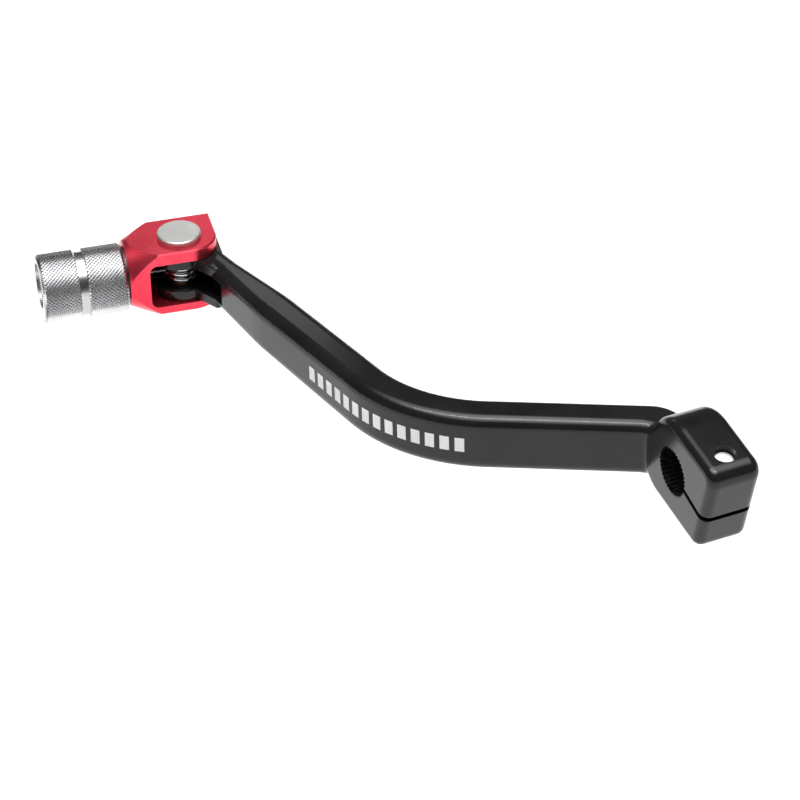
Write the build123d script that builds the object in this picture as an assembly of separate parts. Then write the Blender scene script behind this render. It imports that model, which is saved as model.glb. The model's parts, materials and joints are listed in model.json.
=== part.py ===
"""Folding-tip gear shift lever for an off-road motorcycle.

Millimetres. The origin is where the shift shaft's axis meets the outer face of the clamp.
+X runs from the clamp towards the toe tip, +Y points outward along the shaft, and +Z is up,
parallel to the axis the toe tip folds about.
"""
from build123d import *
from math import cos, hypot, pi, radians, sin, tan
import os

os.makedirs("parts", exist_ok=True)

# ---- clamp on the shift shaft -------------------------------------------------------------
CLAMP_WIDTH = 12.6          # along the shaft
CLAMP_R = 12.0              # round side of the clamp
CLAMP_TILT = 16.5           # the lug dips this many degrees below the horizontal
LUG_END = 14.8              # shaft axis to the end face of the lug
LUG_TOP = 13.8              # heights of the lug at its end, above and below the slit
LUG_BOTTOM = 10.5
LUG_TOP_R = 3.4             # corner radii of the lug in side view
LUG_BOTTOM_R = 2.8
CLAMP_EDGE_R = 2.2          # soft edges round both faces
SPLINE_TIP_R = 5.6          # tips of the teeth in the bore
SPLINE_ROOT_R = 6.0         # for a 12 mm serrated shaft
SPLINE_TEETH = 36
SPLINE_TIP_LAND = 0.5       # share of one tooth pitch
SPLINE_ROOT_LAND = 0.2
SLIT = 1.4
PINCH_X = 8.4               # shaft axis to pinch bolt axis
PINCH_CORE_R = 2.5          # M6 thread, drawn at its core
PINCH_SHANK_R = 2.7         # waisted, so that it clears the shaft
PINCH_CLEAR_R = 3.2
PINCH_SEAT = 5.2            # seat of the bolt head, below the slit
PINCH_SEAT_R = 5.4
PINCH_END = 11.4            # end of the bolt, above the slit
PINCH_HEAD_R = 5.0          # low head, sunk in the lower jaw
PINCH_HEAD = 4.0
PINCH_SOCKET = 4.0          # across flats
PINCH_SOCKET_DEPTH = 2.2
THREAD_EDGE = 0.4           # chamfer on the end of a thread
HEAD_EDGE = 0.5             # chamfer on the rim of a screw head

# ---- arm ----------------------------------------------------------------------------------
ARM_Z = -3.0                # the arm and the toe tip lie a little below the shaft axis
ARM_HEIGHTS = ((-30.0, 13.6), (50.0, 13.9), (125.0, 11.2))   # (x, height)
ARM_EDGE_R = 2.8
ARM_CORNER = (42.8, 43.8)   # where the middles of the two straight runs would meet
ARM_BEND_R = 37.0
ARM_FIRST_ANGLE = 61.0      # the outward run that leaves the clamp
ARM_SECOND_ANGLE = 10.6     # the long forward run
ARM_HALF_WIDTH = 4.8
ARM_TIP_HALF_WIDTH = 3.4
ARM_TAPER_START = 34.0      # distances back from the pivot, along the forward run
ARM_TAPER_END = 14.0
ARM_END = 5.0
ARM_TAPER_R = 60.0          # eases the ends of the taper
ARM_FOOT_R = 8.0            # the arm flares into the clamp on its outer side
ARM_HEEL_R = 9.0            # and is rounded off on its inner side
ARM_FOOT_Y = -2.4           # the flare stays this far behind the clamp's outer face
ARM_HEEL_Y = -10.2          # and the heel this far, clear of the clamp's rounded inner edge
ROOT = (6.5, 8.3)           # reach and radius of the web between the clamp and the arm
JOIN_R = 2.0                # hollow between the arm and the clamp

# ---- fold joint; b is measured from the pivot along the toe tip, c towards the rear ---------
PIVOT = (129.9, 64.75)
TIP_ANGLE = 80.0            # direction of the toe tip, from +X
FORK_DROP = 0.4             # the tongue and the gap lie this far below the toe piece's axis
TONGUE_HEIGHT = 11.4
TONGUE_R = 6.6              # round the pivot on the folding side
TONGUE_STOP = 7.1           # square corner that stops the tip swinging forward
TONGUE_FAR = 7.2            # half width on the forward side
TONGUE_HEEL = 9.5           # back of the tongue, behind the ears
TONGUE_STOP_SPAN = (-2.0, -1.0)   # where the square corner gives way to the round
TONGUE_FOOT = 12.0          # how far the tongue reaches into the arm
TONGUE_THROAT = (-2.0, 6.1)       # where the foot leaves the round
TONGUE_FOOT_SIDE = -6.0
TONGUE_EDGE_R = 0.5
TONGUE_HEEL_R = 2.0
TONGUE_NOSE_R = 1.6         # clears the hollow corners of the holder's gap
RECESS_R = 9.2              # room in the arm for the ears to turn
FORK_SLOT = 6.2             # height of the spring pocket
POCKET_FAR = 4.7            # pocket wall on the forward side of the pivot
POCKET_END = 15.3           # pocket wall towards the arm
POCKET_CORNER_R = 1.2

EAR_END = 8.8
EAR_CORNER_R = 7.0
EAR_EDGE = 0.3
HOLDER_HALF_WIDTH = 7.95
TOE_SHIFT = -0.55           # the toe piece's axis passes this far in front of the pivot
HOLDER_HALF_HEIGHT = 8.4
HOLDER_GAP = 11.6           # between the two ears
HOLDER_WALL = 8.7           # pivot to the bottom of the gap
HOLDER_GAP_R = 1.8
HOLDER_FACE = 13.5          # pivot to the face the toe piece sits on
HOLDER_FACE_R = 7.9
HOLDER_CONE = 26.5          # degrees, cone turned on the end of the block

BOLT_R = 2.5                # plain shoulder of the pivot bolt
BOLT_HEAD_R = 5.25
BOLT_HEAD = 1.25
BOLT_HEAD_EDGE = 0.25
BOLT_THREAD_R = 2.0
BOLT_SOCKET = 2.5           # hex socket in its lower end, across flats
BOLT_SOCKET_DEPTH = 1.8
RUNNING_FIT = 0.03          # radial, between the pivot bolt and what turns on it
BUSH_R = 3.25
BUSH_FLANGE_R = 4.5
BUSH_FLANGE = 0.6
BUSH_PROUD = 0.05           # the flanges stand out of the tongue and carry the ears

SPRING_WIRE_R = 0.55
SPRING_LEG_R = 0.58         # the legs swallow the ends of the coil
SPRING_LEG_BACK = 0.15      # and begin this far before them
SPRING_R = 3.35             # middle of the wire
SPRING_PITCH = 1.45
SPRING_LEG_ANGLE = 205.0    # where the arm's leg leaves the coil
SPRING_TURNS = 3            # whole turns, before the last part turn to the toe's leg
SPRING_ARM_LEG = 11.0
SPRING_TOE_LEG = 10.6       # end of the leg that enters the holder
SPRING_SEAT = 0.05          # gap between the arm's leg and the wall it leans on
SPRING_HOLE_R = 0.7
SPRING_HOLE_END = 0.3       # the hole goes this much deeper than the leg

# ---- toe piece ----------------------------------------------------------------------------
TOE_START = 14.0            # pivot to the inner end of the toe piece
TOE_LENGTH = 20.4
TOE_R = 8.4
TOE_OFFSET = 1.1            # its bolt hole is off centre, which makes the height adjustable
TOE_CHAMFER = 0.6
GROOVE_MIDDLE = 24.4
GROOVE_WIDTH = 2.0
GROOVE_DEPTH = 0.7
TOE_BOLT_R = 3.0            # M6
TOE_BOLT_FIT = 0.05
TOE_BOLT_END = 8.9
TOE_HEAD_R = 5.0
TOE_HEAD = 6.0
TOE_SOCKET = 5.0
TOE_SOCKET_DEPTH = 3.2
TOE_COUNTERBORE_R = 5.4
TOE_COUNTERBORE = 6.8
TOE_WASHER_R = 6.4
TOE_WASHER_BORE_R = 3.1

CLAMP_FRAME = Rot(0, -CLAMP_TILT, 0)
TIP_FRAME = Location((PIVOT[0], PIVOT[1], ARM_Z), (0, 0, TIP_ANGLE))
FORK_FRAME = TIP_FRAME * Pos(0, 0, -FORK_DROP)
TOE_FRAME = TIP_FRAME * Pos(0, TOE_SHIFT, 0)


def block(x0, x1, y0, y1, z0, z1):
    """A rectangular block between two corners."""
    return Pos((x0 + x1) / 2, (y0 + y1) / 2, (z0 + z1) / 2) * Box(x1 - x0, y1 - y0, z1 - z0)


def rod(radius, start, end):
    """A round bar on the Z axis."""
    return Pos(0, 0, (start + end) / 2) * Cylinder(radius, end - start)


def rod_x(radius, start, end):
    """A round bar on the X axis."""
    return Pos((start + end) / 2, 0, 0) * Rot(0, 90, 0) * Cylinder(radius, end - start)


def hex_bar(flats, start, end):
    """A hexagonal bar on the Z axis."""
    face = RegularPolygon(flats / 2, 6, major_radius=False)
    return Pos(0, 0, start) * extrude(face, end - start)


def turned_x(points):
    """A shape turned about the X axis from its half outline (x, radius)."""
    outline = [(points[0][0], 0)] + list(points) + [(points[-1][0], 0)]
    face = Plane.XY * make_face(Polyline(*outline, close=True))
    return revolve(face, Axis.X)


def level_rims(body, direction):
    """The edges that lie in planes square to a direction."""
    flat = 1e-4
    return [e for e in body.edges() if getattr(e.bounding_box().size, direction) < flat]


# ---- the arm ------------------------------------------------------------------------------

def clamp_body():
    """Round boss with its lug, in the lug's own frame: the lug points along -X."""
    tilt = radians(CLAMP_TILT)
    root = (ROOT[0] * cos(tilt) + ARM_Z * sin(tilt), ARM_Z * cos(tilt) - ROOT[0] * sin(tilt))
    circles = (((0, 0), CLAMP_R),
               (root, ROOT[1]),
               ((-LUG_END + LUG_TOP_R, LUG_TOP - LUG_TOP_R), LUG_TOP_R),
               ((-LUG_END + LUG_BOTTOM_R, -LUG_BOTTOM + LUG_BOTTOM_R), LUG_BOTTOM_R))
    with BuildSketch(Plane.XZ) as side:
        for centre, radius in circles:
            with Locations(centre):
                Circle(radius)
        make_hull()
    body = extrude(side.sketch, CLAMP_WIDTH)
    return fillet(level_rims(body, "Y"), CLAMP_EDGE_R)


def spline_cutter():
    """The toothed bore as a solid, in the lug's frame."""
    pitch = 2 * pi / SPLINE_TEETH
    points = []
    for tooth in range(SPLINE_TEETH):
        for turn, radius in ((SPLINE_TIP_LAND / 2, SPLINE_TIP_R),
                             (0.5 - SPLINE_ROOT_LAND / 2, SPLINE_ROOT_R),
                             (0.5 + SPLINE_ROOT_LAND / 2, SPLINE_ROOT_R),
                             (1 - SPLINE_TIP_LAND / 2, SPLINE_TIP_R)):
            angle = (tooth + turn) * pitch
            points.append((radius * cos(angle), radius * sin(angle)))
    face = Plane.XZ * make_face(Polyline(*points, close=True))
    teeth = extrude(face, CLAMP_WIDTH)
    core = Pos(0, -CLAMP_WIDTH / 2, 0) * Rot(90, 0, 0) * Cylinder(SPLINE_TIP_R, CLAMP_WIDTH)
    return teeth + core


def clamp_cuts():
    """Bore, slit and pinch bolt hole, in the lug's frame."""
    bolt_axis = Pos(-PINCH_X, -CLAMP_WIDTH / 2, 0)
    far = CLAMP_R + LUG_END
    slit = block(-far, 0, -far, far, -SLIT / 2, SLIT / 2)
    tapped = bolt_axis * rod(PINCH_CORE_R, 0, far)
    clearance = bolt_axis * rod(PINCH_CLEAR_R, -far, 0)
    seat = bolt_axis * rod(PINCH_SEAT_R, -far, -PINCH_SEAT)
    return [spline_cutter(), slit, tapped, clearance, seat]


def arm_edge(side):
    """One edge of the arm seen from above, from the clamp to the pivot."""
    a = radians(ARM_FIRST_ANGLE)
    b = radians(ARM_SECOND_ANGLE)
    half = side * ARM_HALF_WIDTH

    def outward(back):
        return (ARM_CORNER[0] - half * sin(a) - back * cos(a),
                ARM_CORNER[1] + half * cos(a) - back * sin(a))

    def forward(back, width):
        s = (PIVOT[0] - ARM_CORNER[0]) * cos(b) + (PIVOT[1] - ARM_CORNER[1]) * sin(b) - back
        return (ARM_CORNER[0] + s * cos(b) - side * width * sin(b),
                ARM_CORNER[1] + s * sin(b) + side * width * cos(b))

    def crossing(y):
        return outward((ARM_CORNER[1] + half * cos(a) - y) / sin(a))

    bend = outward(half * tan((b - a) / 2))
    foot = ARM_FOOT_Y if side > 0 else ARM_HEEL_Y
    root = [(0, foot), crossing(foot)]
    return root + [bend, forward(ARM_TAPER_START, ARM_HALF_WIDTH),
                   forward(ARM_TAPER_END, ARM_TIP_HALF_WIDTH), forward(ARM_END, ARM_TIP_HALF_WIDTH)]


def arm_beam():
    """The arm from inside the clamp to the fold joint."""
    left = arm_edge(1)
    right = arm_edge(-1)
    plan = make_face(Polyline(*left, *reversed(right), close=True))
    rounds = ((left[1], ARM_FOOT_R), (right[1], ARM_HEEL_R),
              (left[2], ARM_BEND_R + ARM_HALF_WIDTH), (right[2], ARM_BEND_R - ARM_HALF_WIDTH),
              (left[3], ARM_TAPER_R), (right[3], ARM_TAPER_R),
              (left[4], ARM_TAPER_R / 2), (right[4], ARM_TAPER_R / 2))
    for corner, radius in rounds:
        vertex = min(plan.vertices(), key=lambda v: hypot(v.X - corner[0], v.Y - corner[1]))
        plan = fillet(vertex, radius)
    beam = extrude(plan, PIVOT[0], both=True) & arm_side_view()
    outer = beam.faces().sort_by(Axis.Z)
    rims = outer[0].edges() + outer[-1].edges()
    return Pos(0, 0, ARM_Z) * fillet(rims, ARM_EDGE_R)


def arm_side_view():
    """The arm's height all along, as a slab with gently curved top and bottom."""
    top = [(x, height / 2) for x, height in ARM_HEIGHTS]
    bottom = [(x, -z) for x, z in reversed(top)]
    with BuildSketch(Plane.XZ) as side:
        with BuildLine():
            Spline(*top)
            Line(top[-1], bottom[0])
            Spline(*bottom)
            Line(bottom[-1], top[0])
        make_face()
    return extrude(side.sketch, 2 * PIVOT[1], both=True)


def tongue():
    """The slab between the ears: round on the folding side, square where it stops the tip."""
    stop_end, round_start = TONGUE_STOP_SPAN
    corner = Polyline((TONGUE_STOP, -TONGUE_FAR), (TONGUE_STOP, stop_end), (TONGUE_R, round_start),
                      (0, 0), TONGUE_THROAT, (TONGUE_FOOT_SIDE, TONGUE_FOOT),
                      (-TONGUE_HEEL, TONGUE_FOOT), (-TONGUE_HEEL, -TONGUE_FAR), close=True)
    plan = make_face(corner) + Circle(TONGUE_R)
    slab = extrude(plan, TONGUE_HEIGHT / 2, both=True)
    heel = slab.edges().filter_by(Axis.Z).sort_by(lambda e: e.center().X + e.center().Y)[0]
    slab = fillet(heel, TONGUE_HEEL_R)
    slab = fillet(level_rims(slab, "Z"), TONGUE_EDGE_R)
    far = 2 * TONGUE_FOOT
    nose = block(-far, TONGUE_STOP, -far, far, -TONGUE_HEIGHT / 2, TONGUE_HEIGHT / 2)
    return slab & fillet(nose.edges().filter_by(Axis.Y).sort_by(Axis.X)[-2:], TONGUE_NOSE_R)


def pocket_wall(c):
    """Where the pocket's slanted wall is at c: parallel to the spring's leg and just behind it."""
    a = radians(SPRING_LEG_ANGLE)
    away = SPRING_R + SPRING_LEG_R + SPRING_SEAT
    return (away - c * sin(a)) / cos(a)


def fork_cuts():
    """Room for the ears, spring pocket and bush seats, in the fork's frame."""
    level = TONGUE_HEIGHT / 2
    clear = TONGUE_HEIGHT
    cuts = []
    for side in (1, -1):
        low, high = sorted((side * level, side * clear))
        cuts.append(rod(RECESS_R, low, high))
        cuts.append(block(-RECESS_R, 2 * RECESS_R, -2 * RECESS_R, 0, low, high))
        low, high = sorted((side * (level - BUSH_FLANGE + BUSH_PROUD), side * clear))
        cuts.append(rod(BUSH_FLANGE_R, low, high))
    pocket = Polyline((3 * TONGUE_STOP, -POCKET_FAR), (pocket_wall(-POCKET_FAR), -POCKET_FAR),
                      (pocket_wall(POCKET_END), POCKET_END), (3 * TONGUE_STOP, POCKET_END),
                      close=True)
    pocket = extrude(make_face(pocket), FORK_SLOT / 2, both=True)
    corners = pocket.edges().filter_by(Axis.Z).sort_by(Axis.X)[:2]
    cuts.append(fillet(corners, POCKET_CORNER_R))
    cuts.append(rod(BUSH_R, -clear, clear))
    return cuts


def hollow_edges(body, *parts):
    """The edges where joined parts meet in a hollow corner."""
    step = 0.05
    miss = 0.01
    least_bend = 0.02

    def place(edge):
        middle = edge.position_at(0.5)
        return tuple(round(v, 1) for v in (middle.X, middle.Y, middle.Z))

    known = {place(edge) for part in parts for edge in part.edges()}
    found = []
    for edge in body.edges():
        sides = [f for f in body.faces() if any(g.is_same(edge) for g in f.edges())]
        if place(edge) in known or len(sides) != 2:
            continue
        middle = edge.position_at(0.5)
        inward = sides[0].normal_at(middle).cross(edge.tangent_at(0.5))
        probe = middle + inward * step
        if sides[0].distance_to(Vertex(probe.X, probe.Y, probe.Z)) > miss:
            inward = inward * -1
        if inward.dot(sides[1].normal_at(middle)) > least_bend:
            found.append(edge)
    return found


def lever_arm():
    """Forged arm: clamp, S-shaped beam and fork."""
    clamp = CLAMP_FRAME * clamp_body()
    beam = arm_beam()
    body = clamp + beam
    body = fillet(hollow_edges(body, clamp, beam), JOIN_R)
    body = body + FORK_FRAME * tongue()
    for cut in clamp_cuts():
        body = body - CLAMP_FRAME * cut
    for cut in fork_cuts():
        body = body - FORK_FRAME * cut
    return body


def pinch_bolt():
    """M6 low-head screw that comes up from below and draws the two jaws together."""
    low = -PINCH_SEAT - PINCH_HEAD
    thread = chamfer(rod(PINCH_CORE_R, 0, PINCH_END).edges().sort_by(Axis.Z)[-1], THREAD_EDGE)
    head = chamfer(rod(PINCH_HEAD_R, low, -PINCH_SEAT).edges().sort_by(Axis.Z)[0], HEAD_EDGE)
    socket = hex_bar(PINCH_SOCKET, low, low + PINCH_SOCKET_DEPTH)
    body = thread + rod(PINCH_SHANK_R, -PINCH_SEAT, 0) + head - socket
    return CLAMP_FRAME * Pos(-PINCH_X, -CLAMP_WIDTH / 2, 0) * body


# ---- fold joint -----------------------------------------------------------------------------

def tip_holder():
    """Folding clevis: two ears round the tongue and a turned face for the toe piece."""
    body = block(-EAR_END, HOLDER_FACE, -HOLDER_HALF_WIDTH, HOLDER_HALF_WIDTH,
                 -HOLDER_HALF_HEIGHT, HOLDER_HALF_HEIGHT)
    corner = body.edges().filter_by(Axis.Z).sort_by(lambda e: e.center().Y - e.center().X)[-1]
    body = fillet(corner, EAR_CORNER_R)
    body = chamfer(level_rims(body, "Z"), EAR_EDGE)
    length = HOLDER_FACE + EAR_END
    wide = HOLDER_FACE_R + length * tan(radians(HOLDER_CONE))
    body = body & turned_x([(-EAR_END, wide), (HOLDER_FACE, HOLDER_FACE_R)])
    reach = 2 * HOLDER_FACE
    gap = block(-reach, HOLDER_WALL, -reach, reach, -HOLDER_GAP / 2, HOLDER_GAP / 2)
    gap = fillet(gap.edges().filter_by(Axis.Y).sort_by(Axis.X)[-2:], HOLDER_GAP_R)
    body = body - Pos(0, 0, -FORK_DROP) * gap - rod_x(TOE_BOLT_R, 0, reach)
    body = Pos(0, TOE_SHIFT, 0) * body
    body = body - rod(BOLT_R + RUNNING_FIT, 0, reach)
    body = body - rod(BOLT_THREAD_R, -reach, 0)
    leg = Pos(0, -SPRING_R, -FORK_DROP - spring_height() / 2)
    return TIP_FRAME * (body - leg * rod_x(SPRING_HOLE_R, 0, SPRING_TOE_LEG + SPRING_HOLE_END))


def pivot_bolt():
    """Shoulder bolt with a flat head on top, screwed into the lower ear."""
    top = HOLDER_HALF_HEIGHT
    ear = -HOLDER_GAP / 2 - FORK_DROP
    head = chamfer(rod(BOLT_HEAD_R, top, top + BOLT_HEAD).edges().sort_by(Axis.Z)[-1], BOLT_HEAD_EDGE)
    shoulder = rod(BOLT_R, ear, top)
    thread = rod(BOLT_THREAD_R, -HOLDER_HALF_HEIGHT, ear)
    thread = chamfer(thread.edges().sort_by(Axis.Z)[0], BOLT_HEAD_EDGE)
    socket = hex_bar(BOLT_SOCKET, -HOLDER_HALF_HEIGHT, -HOLDER_HALF_HEIGHT + BOLT_SOCKET_DEPTH)
    return TIP_FRAME * (head + shoulder + thread - socket)


def bush(side):
    """Flanged bush in one prong of the fork; its flange carries an ear."""
    level = TONGUE_HEIGHT / 2
    body = rod(BUSH_R, FORK_SLOT / 2, level) + rod(BUSH_FLANGE_R, level + BUSH_PROUD - BUSH_FLANGE,
                                                   level + BUSH_PROUD)
    body = body - rod(BOLT_R + RUNNING_FIT, 0, TONGUE_HEIGHT)
    return FORK_FRAME * (body if side > 0 else Rot(180, 0, 0) * body)


def spring_height():
    """Rise of the coil from the arm's leg to the toe's leg."""
    turn = (270.0 - SPRING_LEG_ANGLE) / 360 + SPRING_TURNS
    return turn * SPRING_PITCH


def return_spring():
    """Torsion spring round the pivot bolt: lower leg in the holder, upper leg on the arm."""
    rise = spring_height()
    helix = Helix(SPRING_PITCH, rise, SPRING_R, lefthand=True)
    section = Plane(origin=helix @ 0, z_dir=helix % 0) * Circle(SPRING_WIRE_R)
    coil = sweep(section, path=helix, is_frenet=True)
    coil = Pos(0, 0, -rise / 2) * Rot(0, 0, 270) * coil
    toe_leg = rod_x(SPRING_LEG_R, -SPRING_LEG_BACK, SPRING_TOE_LEG)
    toe_leg = Pos(0, -SPRING_R, -rise / 2) * toe_leg
    arm_leg = Rot(90, 0, 0) * rod(SPRING_LEG_R, -SPRING_LEG_BACK, SPRING_ARM_LEG)
    arm_leg = Rot(0, 0, SPRING_LEG_ANGLE) * Pos(SPRING_R, 0, rise / 2) * arm_leg
    return FORK_FRAME * coil.fuse(arm_leg, toe_leg)


# ---- toe piece ------------------------------------------------------------------------------

def knurled_tip():
    """Round toe piece with a polished groove; its bolt hole is off centre."""
    end = TOE_START + TOE_LENGTH
    near = GROOVE_MIDDLE - GROOVE_WIDTH / 2
    far = GROOVE_MIDDLE + GROOVE_WIDTH / 2
    floor = TOE_R - GROOVE_DEPTH
    body = turned_x([(TOE_START, TOE_R - TOE_CHAMFER), (TOE_START + TOE_CHAMFER, TOE_R),
                     (near, TOE_R), (near, floor), (far, floor), (far, TOE_R),
                     (end - TOE_CHAMFER, TOE_R), (end, TOE_R - TOE_CHAMFER)])
    body = Pos(0, 0, -TOE_OFFSET) * body
    body = body - rod_x(TOE_BOLT_R + TOE_BOLT_FIT, 0, 2 * end)
    return TOE_FRAME * (body - rod_x(TOE_COUNTERBORE_R, end - TOE_COUNTERBORE, 2 * end))


def tip_washer():
    """Plain washer between the holder and the toe piece."""
    ring = rod_x(TOE_WASHER_R, HOLDER_FACE, TOE_START)
    return TOE_FRAME * (ring - rod_x(TOE_WASHER_BORE_R, 0, 2 * TOE_START))


def tip_bolt():
    """M6 socket screw that holds the toe piece to the holder."""
    seat = TOE_START + TOE_LENGTH - TOE_COUNTERBORE
    head = rod_x(TOE_HEAD_R, seat, seat + TOE_HEAD)
    head = chamfer(head.edges().sort_by(Axis.X)[-1], HEAD_EDGE)
    shank = rod_x(TOE_BOLT_R, TOE_BOLT_END, seat)
    shank = chamfer(shank.edges().sort_by(Axis.X)[0], THREAD_EDGE)
    socket = Rot(0, 90, 0) * hex_bar(TOE_SOCKET, seat + TOE_HEAD - TOE_SOCKET_DEPTH, seat + TOE_HEAD)
    return TOE_FRAME * (head + shank - socket)


PIECES = {
    "lever_arm": lever_arm,
    "pinch_bolt": pinch_bolt,
    "tip_holder": tip_holder,
    "pivot_bolt": pivot_bolt,
    "pivot_bush_upper": lambda: bush(1),
    "pivot_bush_lower": lambda: bush(-1),
    "return_spring": return_spring,
    "tip_washer": tip_washer,
    "knurled_tip": knurled_tip,
    "tip_bolt": tip_bolt,
}

for node, make in PIECES.items():
    export_step(make(), f"parts/{node}.step")
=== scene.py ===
"""Looks of the folding-tip gear shift lever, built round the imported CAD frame."""
import bpy
import json
import math
from bisect import bisect_right
from mathutils import Matrix, Vector
from mathutils.bvhtree import BVHTree


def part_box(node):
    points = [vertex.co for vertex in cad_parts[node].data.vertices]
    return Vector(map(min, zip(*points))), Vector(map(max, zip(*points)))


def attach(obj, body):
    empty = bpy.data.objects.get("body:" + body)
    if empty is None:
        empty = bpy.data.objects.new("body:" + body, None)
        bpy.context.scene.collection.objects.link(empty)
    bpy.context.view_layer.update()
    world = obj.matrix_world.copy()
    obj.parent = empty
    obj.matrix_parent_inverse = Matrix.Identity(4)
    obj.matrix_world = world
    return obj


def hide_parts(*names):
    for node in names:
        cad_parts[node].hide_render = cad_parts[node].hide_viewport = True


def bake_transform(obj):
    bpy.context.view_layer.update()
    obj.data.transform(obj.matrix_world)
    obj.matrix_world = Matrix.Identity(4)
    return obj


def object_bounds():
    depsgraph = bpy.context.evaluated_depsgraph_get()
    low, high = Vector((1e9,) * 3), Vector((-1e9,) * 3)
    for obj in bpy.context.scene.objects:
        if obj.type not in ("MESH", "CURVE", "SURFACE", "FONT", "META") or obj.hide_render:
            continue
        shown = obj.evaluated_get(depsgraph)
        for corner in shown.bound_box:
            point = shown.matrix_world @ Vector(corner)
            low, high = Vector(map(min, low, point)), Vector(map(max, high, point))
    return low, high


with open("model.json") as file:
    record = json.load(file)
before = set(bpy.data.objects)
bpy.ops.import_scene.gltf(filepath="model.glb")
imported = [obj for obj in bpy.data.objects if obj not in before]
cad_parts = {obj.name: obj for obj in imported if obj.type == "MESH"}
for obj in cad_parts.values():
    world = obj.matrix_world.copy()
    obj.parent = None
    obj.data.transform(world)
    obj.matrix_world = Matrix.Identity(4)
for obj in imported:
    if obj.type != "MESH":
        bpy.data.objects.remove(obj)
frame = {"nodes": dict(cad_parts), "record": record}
CAD_LOW, CAD_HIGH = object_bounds()
CENTRE = (CAD_LOW + CAD_HIGH) / 2
SCENE = bpy.context.scene
MM = 0.001
UP = Vector((0, 0, 1))
JOINTS = {joint["name"]: joint for joint in frame["record"]["behaviour"]["joints"]}
FOLD = Vector(JOINTS["tip_fold"]["pos_m"])
TOE = Vector(JOINTS["tip_turn"]["pos_m"])
TOE_AXIS = Vector(JOINTS["tip_turn"]["axis"]).normalized()
TOE_SIDE = UP.cross(TOE_AXIS)


# ---- camera and light ------------------------------------------------------------------------

FLOOR_DROP = 0.14                   # the floor lies this far below the lever, so no shadow shows
SKY = (0.78, 0.96, 0.08, 5.4)       # dim up to the first height, bright above the second
LIGHTS = (                          # name, target, direction, distance, size and power
    ("overhead", CENTRE, (-0.10, 0.10, 1.0), 0.9, (0.9, 0.05), 3.6),
    ("tip_card", FOLD, (0.755, -0.323, 0.57), 0.25, (0.06, 0.055), 0.0130),
)


def make_camera():
    """Long lens, well above the horizon, from behind the clamp on the outer side."""
    azimuth = math.radians(246.83)
    elevation = math.radians(34.76)
    roll = math.radians(-1.59)
    distance = 0.793
    aim = Vector((0.0550, 0.0405, -0.0030))
    back = Vector((math.sin(azimuth) * math.cos(elevation),
                   -math.cos(azimuth) * math.cos(elevation), math.sin(elevation)))
    data = bpy.data.cameras.new("camera")
    data.lens = 157.5
    data.sensor_width = 36
    data.clip_start = 0.01
    data.clip_end = 50
    camera = bpy.data.objects.new("camera", data)
    SCENE.collection.objects.link(camera)
    camera.location = aim + back * distance
    turn = (-back).to_track_quat("-Z", "Y").to_matrix().to_4x4()
    camera.rotation_euler = (turn @ Matrix.Rotation(roll, 4, "Z")).to_euler()
    SCENE.camera = camera


def area_light(name, target, direction, distance, size, power):
    """A rectangular soft box aimed at a point of the lever."""
    data = bpy.data.lights.new(name, "AREA")
    data.energy = power
    data.shape = "RECTANGLE"
    data.size, data.size_y = size
    light = bpy.data.objects.new(name, data)
    SCENE.collection.objects.link(light)
    offset = Vector(direction).normalized()
    light.location = target + offset * distance
    light.rotation_euler = (-offset).to_track_quat("-Z", "Y").to_euler()


def make_floor():
    """Plain pale floor, well below the lever."""
    bpy.ops.mesh.primitive_plane_add(size=8, location=(CENTRE.x, CENTRE.y, CAD_LOW.z - FLOOR_DROP))
    floor = bpy.context.object
    floor.name = "floor"
    material = bpy.data.materials.new("pale_floor")
    material.use_nodes = True
    shader = material.node_tree.nodes["Principled BSDF"]
    shader.inputs["Base Color"].default_value = (0.95, 0.95, 0.95, 1)
    shader.inputs["Roughness"].default_value = 0.9
    floor.data.materials.append(material)


def make_sky():
    """White surroundings, bright only near the top, so that dark metal keeps dark sides."""
    world = bpy.data.worlds.new("world")
    world.use_nodes = True
    nodes, links = world.node_tree.nodes, world.node_tree.links
    nodes["Background"].inputs["Color"].default_value = (1, 1, 1, 1)
    height = nodes.new("ShaderNodeSeparateXYZ")
    links.new(nodes.new("ShaderNodeTexCoord").outputs["Generated"], height.inputs[0])
    glow = spread(nodes, links, height.outputs["Z"], *SKY)
    links.new(glow, nodes["Background"].inputs["Strength"])
    SCENE.world = world


def make_studio():
    """Floor and sky, with a strip light overhead and a small card that lights the tip."""
    make_floor()
    make_sky()
    SCENE.view_settings.view_transform = "Standard"
    for light in LIGHTS:
        area_light(*light)


# ---- nodes of a material ---------------------------------------------------------------------

BEVEL_SAMPLES = 6
EDGE_BEGINS = 0.99          # cosine between true and bevelled normal where an edge begins to show
EDGE_FULL = 0.90            # and where it shows in full


def new_material(name):
    """A material with its nodes, links and shader at hand."""
    material = bpy.data.materials.new(name)
    material.use_nodes = True
    nodes = material.node_tree.nodes
    return material, nodes, material.node_tree.links, nodes["Principled BSDF"]


def feed(links, socket, value):
    """Link a node's output to a socket, or set the socket to a fixed value."""
    if isinstance(value, bpy.types.NodeSocket):
        links.new(value, socket)
    else:
        socket.default_value = value


def operate(nodes, links, kind, operation, *values):
    """Outputs of a math node of one kind, fed with the values in order."""
    node = nodes.new(kind)
    node.operation = operation
    for socket, value in zip(node.inputs, values):
        feed(links, socket, value)
    return node.outputs


def noise(nodes, links, place, scale, detail=3.0, stretch=None):
    """Noise in object space; scale is per metre."""
    texture = nodes.new("ShaderNodeTexNoise")
    texture.inputs["Scale"].default_value = scale
    texture.inputs["Detail"].default_value = detail
    if stretch:
        mapping = nodes.new("ShaderNodeMapping")
        mapping.inputs["Scale"].default_value = stretch
        links.new(place, mapping.inputs["Vector"])
        place = mapping.outputs["Vector"]
    links.new(place, texture.inputs["Vector"])
    return texture.outputs["Fac"]


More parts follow.
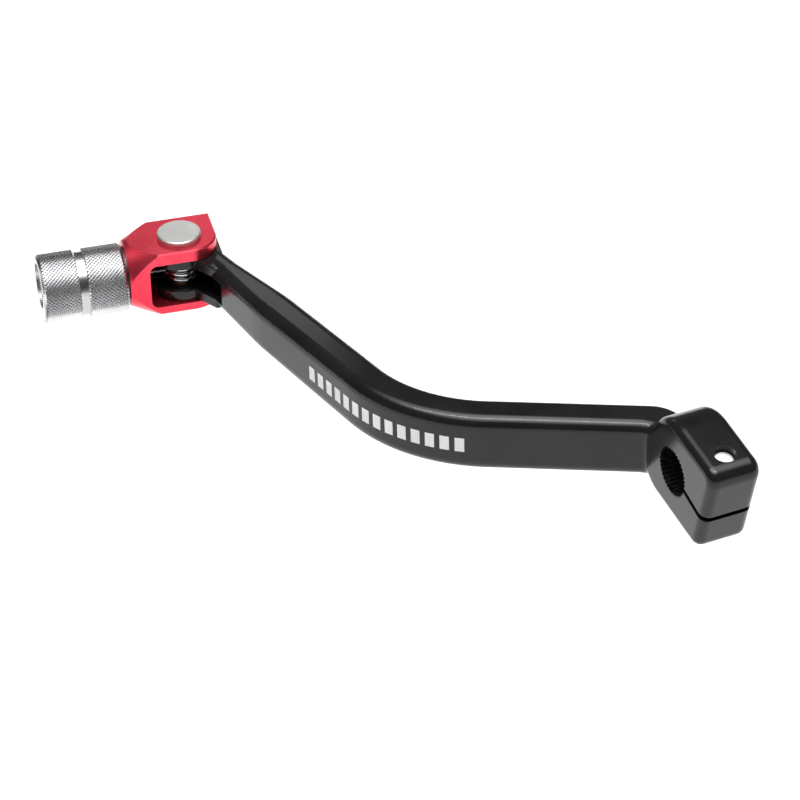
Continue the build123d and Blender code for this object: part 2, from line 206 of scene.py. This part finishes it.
def spread(nodes, links, value, low_in, high_in, low, high):
    """Map a range of a value onto another range."""
    ranged = nodes.new("ShaderNodeMapRange")
    for socket, number in zip(("From Min", "From Max", "To Min", "To Max"),
                              (low_in, high_in, low, high)):
        ranged.inputs[socket].default_value = number
    links.new(value, ranged.inputs["Value"])
    return ranged.outputs["Result"]


def times(nodes, links, a, b):
    """Product of two values."""
    return operate(nodes, links, "ShaderNodeMath", "MULTIPLY", a, b)[0]


def mix(nodes, links, amount, under, over):
    """One colour over another, each a fixed colour or a node's output."""
    blend = nodes.new("ShaderNodeMix")
    blend.data_type = "RGBA"
    links.new(amount, blend.inputs["Factor"])
    for socket, colour in ((blend.inputs[6], under), (blend.inputs[7], over)):
        feed(links, socket, (*colour, 1) if isinstance(colour, tuple) else colour)
    return blend.outputs[2]


def edge_mask(nodes, links, radius):
    """One on the sharp edges of a piece, nought on its flat faces."""
    bevel = nodes.new("ShaderNodeBevel")
    bevel.samples = BEVEL_SAMPLES
    bevel.inputs["Radius"].default_value = radius
    geometry = nodes.new("ShaderNodeNewGeometry")
    turn = operate(nodes, links, "ShaderNodeVectorMath", "DOT_PRODUCT",
                   bevel.outputs["Normal"], geometry.outputs["Normal"])["Value"]
    return spread(nodes, links, turn, EDGE_BEGINS, EDGE_FULL, 0.0, 1.0)


def roughen(nodes, links, shader, height, relief, strength):
    """Give the surface a bump of a small height."""
    bump = nodes.new("ShaderNodeBump")
    bump.inputs["Distance"].default_value = relief
    bump.inputs["Strength"].default_value = strength
    links.new(height, bump.inputs["Height"])
    links.new(bump.outputs["Normal"], shader.inputs["Normal"])


# ---- materials -------------------------------------------------------------------------------

NOISE_BAND = (0.3, 0.7)     # most of a noise's values lie in here
PATCH_SCALE = 90            # mottling, per metre
PATCH_BAND = (0.35, 0.65)
RUB_SCALE = 700             # breaks in the rubbed edges, per metre
RUB_BAND = (0.42, 0.62)
RUB_SHARE = 0.75            # how far the rubbing covers at its strongest
RING_PATCH_SCALE = 400      # patches in turned metal, per metre
RING_PATCH_LEAST = 0.4      # rings are never fainter than this
RING_PITCH = 0.00018        # metres between the rings that a lathe tool leaves
RELIEF = 0.01 * MM
COAT_RELIEF = 0.012 * MM    # the two anodised surfaces are a little coarser
GRAIN_BUMP = 0.5
RING_BUMP = 0.6


def finish(name, colour, second, wear, metallic, rough, grain, edge, relief=RELIEF, stretch=None,
           gloss=0.5):
    """A worked metal surface: mottled colour, grain in its relief and gloss, and rubbed edges."""
    material, nodes, links, shader = new_material(name)
    place = nodes.new("ShaderNodeTexCoord").outputs["Object"]
    patches = noise(nodes, links, place, PATCH_SCALE, detail=4)
    fine = noise(nodes, links, place, grain, detail=2, stretch=stretch)
    body = mix(nodes, links, spread(nodes, links, patches, *PATCH_BAND, 0.0, 1.0), colour, second)
    breaks = noise(nodes, links, place, RUB_SCALE)
    rubbed = times(nodes, links, edge_mask(nodes, links, edge),
                   spread(nodes, links, breaks, *RUB_BAND, 0.0, RUB_SHARE))
    links.new(mix(nodes, links, rubbed, body, wear), shader.inputs["Base Color"])
    shader.inputs["Specular IOR Level"].default_value = gloss
    shader.inputs["Metallic"].default_value = metallic
    links.new(spread(nodes, links, fine, *NOISE_BAND, *rough), shader.inputs["Roughness"])
    roughen(nodes, links, shader, fine, relief, GRAIN_BUMP)
    return material


def ring_pattern(nodes, links, place, origin, direction):
    """Noise that changes only with the distance from an axis and along it, as tool rings do."""
    vector = "ShaderNodeVectorMath"
    offset = operate(nodes, links, vector, "SUBTRACT", place, tuple(origin))[0]
    across = operate(nodes, links, vector, "CROSS_PRODUCT", offset, tuple(direction))[0]
    reach = operate(nodes, links, vector, "LENGTH", across)["Value"]
    along = operate(nodes, links, vector, "DOT_PRODUCT", offset, tuple(direction))["Value"]
    rings = nodes.new("ShaderNodeTexNoise")
    rings.noise_dimensions = "1D"
    rings.inputs["Scale"].default_value = 1 / RING_PITCH
    rings.inputs["Detail"].default_value = 2
    links.new(operate(nodes, links, "ShaderNodeMath", "ADD", reach, along)[0], rings.inputs["W"])
    return rings.outputs["Fac"]


def turned(name, colour, second, origin, direction, rough):
    """Bright metal with fine tool rings about an axis."""
    material, nodes, links, shader = new_material(name)
    place = nodes.new("ShaderNodeTexCoord").outputs["Object"]
    rings = ring_pattern(nodes, links, place, origin, direction)
    patches = noise(nodes, links, place, RING_PATCH_SCALE)
    shade = times(nodes, links, spread(nodes, links, rings, *NOISE_BAND, 0.0, 1.0),
                  spread(nodes, links, patches, *NOISE_BAND, RING_PATCH_LEAST, 1.0))
    links.new(mix(nodes, links, shade, colour, second), shader.inputs["Base Color"])
    shader.inputs["Metallic"].default_value = 1.0
    links.new(spread(nodes, links, patches, *NOISE_BAND, *rough), shader.inputs["Roughness"])
    roughen(nodes, links, shader, rings, RELIEF, RING_BUMP)
    return material


STEEL = {"colour": (0.78, 0.78, 0.77), "second": (0.52, 0.52, 0.51)}
FINISHES = {
    "black_anodised": {
        "colour": (0.007, 0.007, 0.0075), "second": (0.011, 0.011, 0.0115),
        "wear": (0.05, 0.05, 0.05), "metallic": 0.0, "rough": (0.14, 0.21), "grain": 5200,
        "edge": 0.3 * MM, "relief": COAT_RELIEF, "gloss": 0.34},
    "red_anodised": {
        "colour": (0.78, 0.060, 0.095), "second": (0.68, 0.038, 0.068),
        "wear": (0.88, 0.20, 0.24), "metallic": 0.85, "rough": (0.24, 0.34), "grain": 4200,
        "edge": 0.15 * MM, "relief": COAT_RELIEF, "stretch": (1, 1, 7)},
    "pinch_steel": {
        "colour": (0.82, 0.82, 0.81), "second": (0.64, 0.64, 0.63), "wear": (0.9, 0.9, 0.9),
        "metallic": 0.7, "rough": (0.32, 0.46), "grain": 5000, "edge": 0.2 * MM},
    "toe_aluminium": {
        "colour": (0.68, 0.68, 0.69), "second": (0.58, 0.58, 0.59), "wear": (0.72, 0.72, 0.72),
        "metallic": 1.0, "rough": (0.18, 0.28), "grain": 6000, "edge": 0.1 * MM},
    "spring_steel": {
        "colour": (0.80, 0.80, 0.80), "second": (0.60, 0.60, 0.60), "wear": (0.9, 0.9, 0.9),
        "metallic": 1.0, "rough": (0.18, 0.30), "grain": 4000, "edge": 0.1 * MM},
    # painted shade: bright steel darkened so the washer between toe piece and holder reads as the
    # shaded gap there
    "steel_darkened_as_shade": {
        "colour": (0.05, 0.05, 0.05), "second": (0.09, 0.09, 0.09), "wear": (0.2, 0.2, 0.2),
        "metallic": 0.9, "rough": (0.35, 0.5), "grain": 5000, "edge": 0.1 * MM},
    "bronze": {
        "colour": (0.55, 0.32, 0.12), "second": (0.42, 0.24, 0.09), "wear": (0.8, 0.6, 0.3),
        "metallic": 1.0, "rough": (0.28, 0.42), "grain": 4000, "edge": 0.2 * MM},
    "print_white": {
        "colour": (0.80, 0.80, 0.81), "second": (0.70, 0.70, 0.71), "wear": (0.55, 0.55, 0.55),
        "metallic": 0.0, "rough": (0.45, 0.6), "grain": 6000, "edge": 0.1 * MM},
}
TURNED_FINISHES = {
    "bolt_steel": {**STEEL, "origin": FOLD, "direction": UP, "rough": (0.36, 0.50)},
    "toe_bolt_steel": {**STEEL, "origin": TOE, "direction": TOE_AXIS, "rough": (0.22, 0.36)},
    "toe_turned": {
        "colour": (0.52, 0.52, 0.53), "second": (0.40, 0.40, 0.41),
        "origin": TOE, "direction": TOE_AXIS, "rough": (0.20, 0.30)},
}


def make_materials():
    """Every material by its name."""
    materials = {name: finish(name, **look) for name, look in FINISHES.items()}
    materials.update({name: turned(name, **look) for name, look in TURNED_FINISHES.items()})
    return materials


# ---- toe piece -------------------------------------------------------------------------------

KNURLS_ROUND = 54           # diamonds round the toe piece
DIAMOND_STEPS = 4           # steps of the knurl's lattice across a diamond, and along one
KNURL_STEP = 0.25 * MM      # one such step along the toe piece
KNURL_DEPTH = 0.38 * MM
KNURL_FLAT = 0.85           # the points are a little blunt
BAND_EDGE = 0.25 * MM       # the knurl stops this far from the groove
TOE_EDGE = 0.6 * MM
GROOVE = (9.4 * MM, 11.4 * MM)      # from the toe piece's inner end
GROOVE_DEPTH = 0.7 * MM
COUNTERBORE_R = 5.4 * MM
COUNTERBORE = 6.8 * MM
TOE_BORE_R = 3.05 * MM


def new_object(name, points, faces, material, smooth=False):
    """A mesh object of one material, linked into the scene."""
    mesh = bpy.data.meshes.new(name)
    mesh.from_pydata([tuple(p) for p in points], [], faces)
    mesh.update()
    mesh.materials.append(material)
    if smooth:
        mesh.shade_smooth()
    obj = bpy.data.objects.new(name, mesh)
    SCENE.collection.objects.link(obj)
    return obj


def knurl_height(i, j):
    """Height of the diamond pattern at a lattice point, from 0 to 1."""
    u = ((i + j) / DIAMOND_STEPS) % 1
    v = ((i - j) / DIAMOND_STEPS) % 1
    return min(abs(1 - 2 * u), abs(1 - 2 * v), KNURL_FLAT) / KNURL_FLAT


def toe_profile(length, radius):
    """Rings (along, radius, share of the offset centre, knurl row or None), from the bore round."""
    rings = [(0, TOE_BORE_R, 0, None), (0, radius - TOE_EDGE, 1, None)]
    start = 0
    for low, high in ((0, GROOVE[0]), (GROOVE[1], length)):
        first = low + (TOE_EDGE if low == 0 else BAND_EDGE)
        last = high - (TOE_EDGE if high == length else BAND_EDGE)
        if low > 0:
            rings.append((low, radius - GROOVE_DEPTH, 1, None))
            rings.append((low, radius - KNURL_DEPTH, 1, None))
        rows = round((last - first) / KNURL_STEP)
        for row in range(rows + 1):
            rings.append((first + (last - first) * row / rows, radius, 1, start + row))
        start += rows
        if high < length:
            rings.append((high, radius - KNURL_DEPTH, 1, None))
            rings.append((high, radius - GROOVE_DEPTH, 1, None))
    rings.append((length, radius - TOE_EDGE, 1, None))
    rings.append((length, COUNTERBORE_R, 0, None))
    rings.append((length - COUNTERBORE, COUNTERBORE_R, 0, None))
    rings.append((length - COUNTERBORE, TOE_BORE_R, 0, None))
    return rings


def toe_points(rings, start, centre, count):
    """Points ring by ring; a knurled ring dips between its diamonds."""
    points = []
    for along, size, off, row in rings:
        middle = TOE + TOE_AXIS * (start + along) + centre * off
        for i in range(count):
            angle = 2 * math.pi * i / count
            r = size if row is None else size - KNURL_DEPTH * (1 - knurl_height(i, row))
            points.append(middle + TOE_SIDE * (r * math.cos(angle))
                          + Vector((0, 0, r * math.sin(angle))))
    return points


def toe_faces(rings, count):
    """Faces between neighbouring rings, split on the knurl so that its valleys stay straight."""
    faces = []
    for k in range(len(rings)):
        after = (k + 1) % len(rings)
        row = rings[k][3]
        for i in range(count):
            n = (i + 1) % count
            a, b, c, d = k * count + i, k * count + n, after * count + n, after * count + i
            if row is None or rings[after][3] is None:
                faces.append((a, b, c, d))
            elif (i - row) % DIAMOND_STEPS == DIAMOND_STEPS // 2:
                faces += [(a, b, c), (a, c, d)]
            else:
                faces += [(a, b, d), (b, c, d)]
    return faces


def make_toe(material, plain):
    """Toe piece with a real diamond knurl on both bands and a plain groove between them."""
    low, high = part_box("knurled_tip")
    radius = (high.z - low.z) / 2
    centre = Vector((0, 0, (high.z + low.z) / 2 - TOE.z))
    reach = [(v.co - TOE).dot(TOE_AXIS) for v in frame["nodes"]["knurled_tip"].data.vertices]
    start = min(reach)
    rings = toe_profile(max(reach) - start, radius)
    count = DIAMOND_STEPS * KNURLS_ROUND
    points = toe_points(rings, start, centre, count)
    toe = new_object("toe_piece", points, toe_faces(rings, count), material)
    toe.data.materials.append(plain)
    for face in toe.data.polygons:
        if any(rings[v // count][3] is None for v in face.vertices):
            face.material_index = 1
    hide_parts("knurled_tip")
    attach(toe, "toe")


# ---- spring ----------------------------------------------------------------------------------

WIRE_R = 0.55 * MM
WIRE_SIDES = 14
CAD_LEG_R = 0.58 * MM       # the CAD spring's legs are a little thicker than the wire
COIL_R = 3.35 * MM
TOE_LEG_ANGLE = 270         # where the toe's leg meets the coil, in degrees
ARM_LEG_ANGLE = 205
COIL_TURNS = 3 + (TOE_LEG_ANGLE - ARM_LEG_ANGLE) / 360
COIL_STEPS = 150
TOE_LEG = 10.4 * MM
ARM_LEG = 10.8 * MM
LEG_STEPS = 8


def coil_angle(t):
    """Angle round the coil, which winds clockwise from the toe's leg to the arm's."""
    return math.radians(TOE_LEG_ANGLE) - 2 * math.pi * COIL_TURNS * t


def spring_path():
    """Middle of the wire in the tip's own directions: toe leg, coil, arm leg."""
    low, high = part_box("return_spring")
    bottom = low.z + CAD_LEG_R
    top = high.z - CAD_LEG_R
    path = [Vector((TOE_LEG * (1 - t / LEG_STEPS), -COIL_R, bottom)) for t in range(LEG_STEPS)]
    for k in range(COIL_STEPS + 1):
        t = k / COIL_STEPS
        angle = coil_angle(t)
        path.append(Vector((COIL_R * math.cos(angle), COIL_R * math.sin(angle),
                            bottom + (top - bottom) * t)))
    end = path[-1]
    away = Vector((math.sin(coil_angle(1)), -math.cos(coil_angle(1)), 0))
    path += [end + away * (ARM_LEG * t / LEG_STEPS) for t in range(1, LEG_STEPS + 1)]
    return path


def tube(path):
    """Points and faces of a closed wire along a path."""
    points, faces = [], []
    for k, middle in enumerate(path):
        ahead = (path[min(k + 1, len(path) - 1)] - path[max(k - 1, 0)]).normalized()
        across = ahead.cross(UP).normalized()
        upward = across.cross(ahead)
        for i in range(WIRE_SIDES):
            angle = 2 * math.pi * i / WIRE_SIDES
            points.append(middle + across * (WIRE_R * math.cos(angle))
                          + upward * (WIRE_R * math.sin(angle)))
    for k in range(len(path) - 1):
        first, second = k * WIRE_SIDES, (k + 1) * WIRE_SIDES
        for i in range(WIRE_SIDES):
            n = (i + 1) % WIRE_SIDES
            faces.append((first + i, second + i, second + n, first + n))
    faces.append(tuple(range(WIRE_SIDES)))
    faces.append(tuple(reversed(range(len(points) - WIRE_SIDES, len(points)))))
    return points, faces


def make_spring(material):
    """Torsion spring round the pivot bolt, one leg in the holder and one on the arm."""
    path = [Vector((FOLD.x, FOLD.y, 0)) + TOE_AXIS * p.x + TOE_SIDE * p.y + Vector((0, 0, p.z))
            for p in spring_path()]
    spring = new_object("torsion_spring", *tube(path), material, smooth=True)
    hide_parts("return_spring")
    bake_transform(spring)


# ---- printed marks ---------------------------------------------------------------------------

MARK_START = 34.0 * MM      # the printed row begins near here along X
MARK_COUNT = 14
MARK_WIDTH = 2.2 * MM
MARK_GAP = 1.3 * MM
MARK_HALF = 1.8 * MM        # half a dash's height
MARK_PROUD = 0.05 * MM
MARK_THICKNESS = 0.05 * MM
MARK_CELLS = 4              # faces along each side of a dash, so that it follows the bend
LEAD = 3.0 * MM             # the arm is sampled from this far before the row
SAMPLE_STEP = 0.5 * MM
SAMPLES = 130
RAY_START = 20 * MM         # rays begin this far outside the lever


def on_arm(arm, x, z):
    """A place just above the arm's outer side, at a distance along X and a height."""
    start = Vector((x, CAD_HIGH.y + RAY_START, z))
    place, normal, _, _ = arm.ray_cast(start, Vector((0, -1, 0)))
    return place + normal * MARK_PROUD


def arm_run(arm, level):
    """Samples along X, and the length along the arm's side up to each."""
    samples = [MARK_START - LEAD + SAMPLE_STEP * k for k in range(SAMPLES)]
    lengths = [0.0]
    for a, b in zip(samples, samples[1:]):
        lengths.append(lengths[-1] + (on_arm(arm, b, level) - on_arm(arm, a, level)).length)
    return samples, lengths


def x_at(s, samples, lengths):
    """The distance along X that lies a length s along the arm's side."""
    k = bisect_right(lengths, s) - 1
    t = (s - lengths[k]) / (lengths[k + 1] - lengths[k])
    return samples[k] + (samples[k + 1] - samples[k]) * t


def make_marks(material):
    """A plain row of equal upright dashes printed on the arm's outer side, round the bend."""
    arm = BVHTree.FromObject(frame["nodes"]["lever_arm"], bpy.context.evaluated_depsgraph_get())
    level = TOE.z
    run = arm_run(arm, level)
    across = MARK_CELLS + 1
    points, faces = [], []
    s = LEAD
    for _ in range(MARK_COUNT):
        first = len(points)
        for row in range(across):
            z = level - MARK_HALF + 2 * MARK_HALF * (row / MARK_CELLS)
            for k in range(across):
                points.append(on_arm(arm, x_at(s + MARK_WIDTH * k / MARK_CELLS, *run), z))
        for row in range(MARK_CELLS):
            for k in range(MARK_CELLS):
                a = first + row * across + k
                faces.append((a, a + 1, a + across + 1, a + across))
        s += MARK_WIDTH + MARK_GAP
    marks = new_object("print_marks", points, faces, material)
    solid = marks.modifiers.new("thickness", "SOLIDIFY")
    solid.thickness = MARK_THICKNESS
    solid.offset = 0
    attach(marks, "arm")


# ---- the object ------------------------------------------------------------------------------

NODE_MATERIALS = {
    "lever_arm": "black_anodised", "tip_holder": "red_anodised", "pinch_bolt": "pinch_steel",
    "pivot_bolt": "bolt_steel", "pivot_bush_upper": "bronze", "pivot_bush_lower": "bronze",
    # the washer wears steel darkened as painted shade
    "return_spring": "spring_steel", "tip_washer": "steel_darkened_as_shade",
    "knurled_tip": "toe_aluminium", "tip_bolt": "toe_bolt_steel",
}

make_camera()
make_studio()
MATERIALS = make_materials()
for node, obj in frame["nodes"].items():
    obj.data.materials.clear()
    obj.data.materials.append(MATERIALS[NODE_MATERIALS[node]])
make_toe(MATERIALS["toe_aluminium"], MATERIALS["toe_turned"])
make_spring(MATERIALS["spring_steel"])
make_marks(MATERIALS["print_white"])
